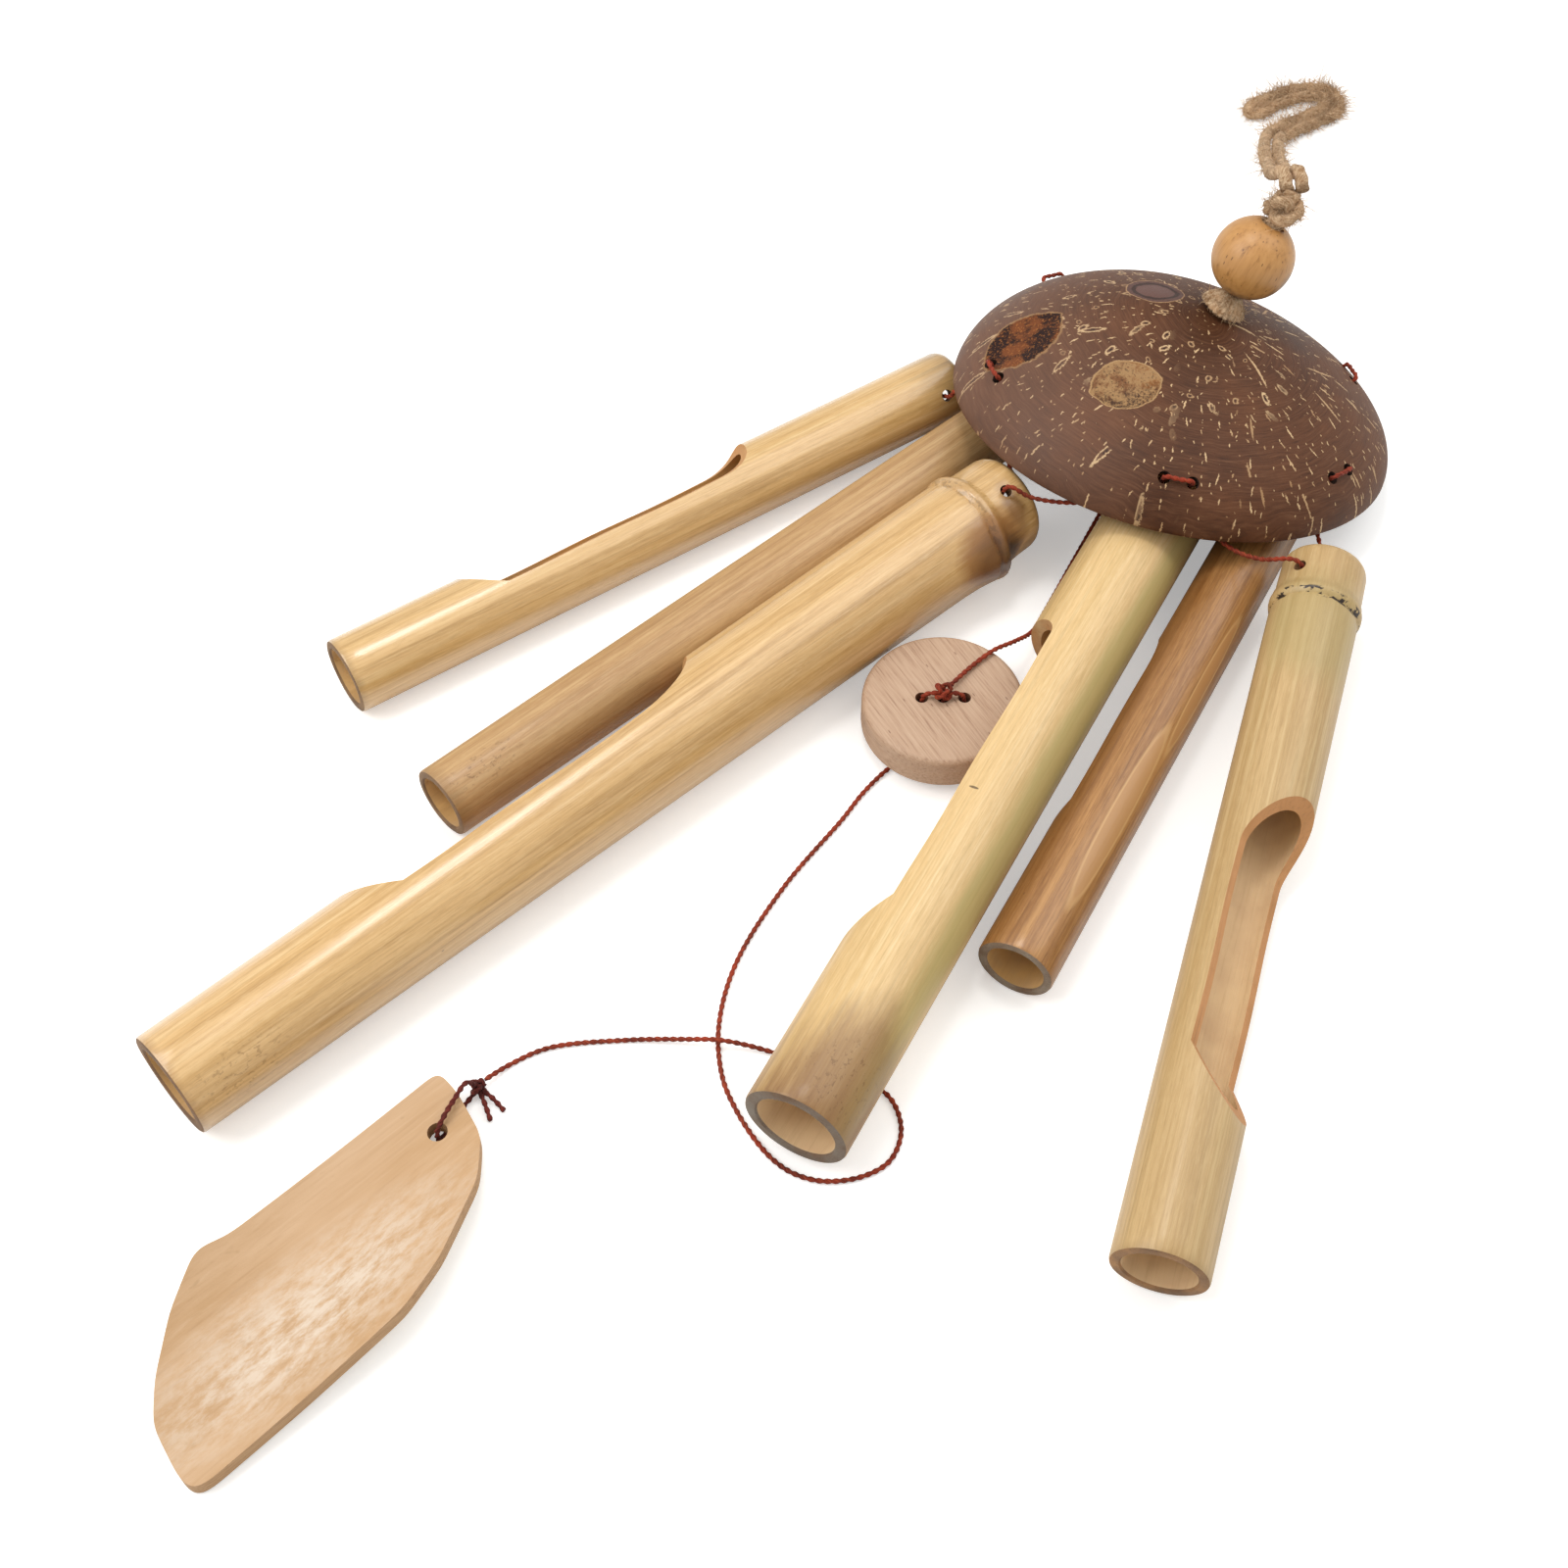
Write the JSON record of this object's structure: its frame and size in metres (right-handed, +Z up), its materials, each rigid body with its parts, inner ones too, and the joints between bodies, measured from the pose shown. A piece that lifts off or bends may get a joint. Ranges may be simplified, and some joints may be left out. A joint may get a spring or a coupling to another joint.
{
  "type": "bamboo wind chime",
  "caption": "Bamboo wind chime laid flat: coconut shell dome, hollow bamboo tubes with sound cut-outs on red cord, round wooden striker, bamboo sail and jute hanging loop with a bead.",
  "frame": {"origin": "on the floor, under the middle of the box around the chime's solid pieces (cords, knots and rope left out)", "axes": "+Z up from the floor, +Y away from the viewer along the laid-out tubes towards the dome, +X to the viewer's right"},
  "size_m": [0.3142, 0.4415, 0.0756],
  "materials": {
    "coconut_shell": "sanded satin",
    "jute": "rough fibre",
    "red_cord": "twisted matt",
    "bead_wood": "waxed",
    "disc_wood": "sawn and sanded",
    "sail_bamboo": "raw split",
    "bamboo_1": "glossy natural skin",
    "bamboo_2": "satin natural skin",
    "bamboo_3": "satin natural skin",
    "bamboo_4": "satin natural skin",
    "bamboo_5": "satin brown skin",
    "bamboo_6": "satin natural skin"
  },
  "bodies": {
    "dome": {"coconut_dome": "coconut_shell", "stitch_1": "red_cord", "stitch_2": "red_cord", "stitch_3": "red_cord", "stitch_4": "red_cord", "stitch_5": "red_cord", "stitch_6": "red_cord", "tube_cord_1": "red_cord", "tube_cord_2": "red_cord", "tube_cord_3": "red_cord", "tube_cord_4": "red_cord", "tube_cord_5": "red_cord", "tube_cord_6": "red_cord", "inner_knot": "jute", "rope_collar": "jute", "rope_knot": "jute"},
    "bead": {"wood_bead": "bead_wood"},
    "hanging_loop": {"rope_loop": "jute"},
    "striker": {"striker_disc": "disc_wood", "striker_knot": "red_cord", "striker_cord": "red_cord", "sail_cord": "red_cord"},
    "sail": {"bamboo_sail": "sail_bamboo", "sail_knot": "red_cord"},
    "tube_1": {"bamboo_tube_1": "bamboo_1"},
    "tube_2": {"bamboo_tube_2": "bamboo_2"},
    "tube_3": {"bamboo_tube_3": "bamboo_3"},
    "tube_4": {"bamboo_tube_4": "bamboo_4"},
    "tube_5": {"bamboo_tube_5": "bamboo_5"},
    "tube_6": {"bamboo_tube_6": "bamboo_6"}
  },
  "joints": [
    {"name": "tube_1_hang", "type": "hinge", "parent": "dome", "child": "tube_1", "pos_m": [0.04515, 0.1389, 0.02083], "axis": [0.5547, -0.8321, 0], "range_deg": [0, 75], "deforming": ["tube_cord_1"]},
    {"name": "tube_2_hang", "type": "hinge", "parent": "dome", "child": "tube_2", "pos_m": [0.07717, 0.14315, 0.02275], "axis": [0.6666, -0.7454, 0], "range_deg": [0, 75], "deforming": ["tube_cord_2"]},
    {"name": "tube_3_hang", "type": "hinge", "parent": "dome", "child": "tube_3", "pos_m": [0.05275, 0.08865, 0.0237], "axis": [0.6639, -0.7478, 0], "range_deg": [0, 64], "deforming": ["tube_cord_3"]},
    {"name": "tube_4_hang", "type": "hinge", "parent": "dome", "child": "tube_4", "pos_m": [0.11274, 0.13017, 0.03292], "axis": [0.8595, -0.4607, 0.2216], "range_deg": [0, 75], "deforming": ["tube_cord_4", "sail_cord"]},
    {"name": "tube_5_hang", "type": "hinge", "parent": "dome", "child": "tube_5", "pos_m": [0.12899, 0.10684, 0.01794], "axis": [0.858, -0.4696, 0.2079], "range_deg": [0, 75], "deforming": ["tube_cord_5"]},
    {"name": "tube_6_hang", "type": "hinge", "parent": "dome", "child": "tube_6", "pos_m": [0.12273, 0.05002, 0.01801], "axis": [0.9521, -0.3057, 0], "range_deg": [0, 75], "deforming": ["tube_cord_6"]},
    {"name": "striker_hang", "type": "hinge", "parent": "dome", "child": "striker", "pos_m": [0.09905, 0.12326, 0.03291], "axis": [0.8215, -0.5703, 0], "range_deg": [0, 63]},
    {"name": "sail_swing", "type": "hinge", "parent": "striker", "child": "sail", "pos_m": [-0.08524, -0.09249, 0.004], "axis": [0, 0, 1], "range_deg": [-25, 30]},
    {"name": "bead_spin", "type": "hinge", "parent": "dome", "child": "bead", "pos_m": [0.10947, 0.12977, 0.05583], "axis": [0.4006, 0.2504, 0.8814], "continuous": true},
    {"name": "rope_lift", "type": "hinge", "parent": "dome", "child": "hanging_loop", "pos_m": [0.11628, 0.13429, 0.07264], "axis": [1, 0, 0], "range_deg": [0, 75], "deforming": ["rope_loop"]}
  ]
}
